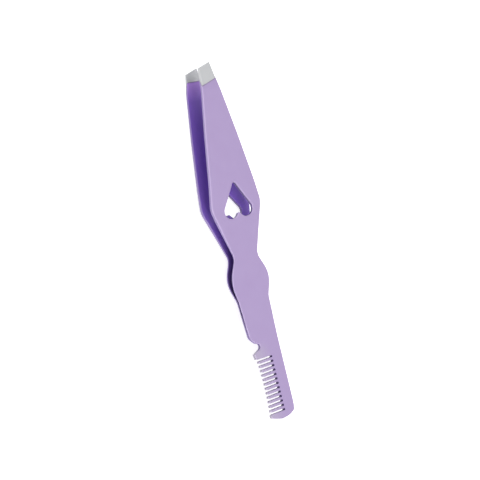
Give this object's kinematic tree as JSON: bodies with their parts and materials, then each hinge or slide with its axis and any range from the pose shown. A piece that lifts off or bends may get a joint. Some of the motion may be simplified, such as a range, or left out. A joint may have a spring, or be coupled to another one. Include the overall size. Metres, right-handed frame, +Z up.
{
  "type": "eyebrow tweezers",
  "caption": "Slant-tip eyebrow tweezers: coated sprung steel arms with a heart cut-out, bare steel tips and a brow comb with a hooked notch at the welded tail.",
  "frame": {"origin": "bottom centre of the bounding box, with the tweezers lying flat on the rear arm", "axes": "+Y along the tweezers towards the tips, +Z up out of the front leaf's face, -X towards the comb's teeth"},
  "size_m": [0.0156, 0.1, 0.0099],
  "materials": {
    "lavender_enamel": "satin baked lavender enamel over stainless steel",
    "bare_steel": "bare stainless steel tips, finely ground; the same metal as the arms, where the coat stops"
  },
  "bodies": {
    "tail": {"front_tail": "lavender_enamel", "rear_tail": "lavender_enamel"},
    "front_arm": {"front_arm": "lavender_enamel"},
    "rear_arm": {"rear_arm": "lavender_enamel"}
  },
  "joints": [
    {"name": "front_arm_flex", "type": "hinge", "parent": "tail", "child": "front_arm", "pos_m": [0, -0.00879, 0.00618], "axis": [-1, 0, 0], "range_deg": [0, 3.45], "stiffness_Nm_per_rad": 1.5},
    {"name": "rear_arm_flex", "type": "hinge", "parent": "tail", "child": "rear_arm", "pos_m": [0, -0.00879, 0.00373], "axis": [1, 0, 0], "range_deg": [0, 3.45], "stiffness_Nm_per_rad": 1.5}
  ]
}
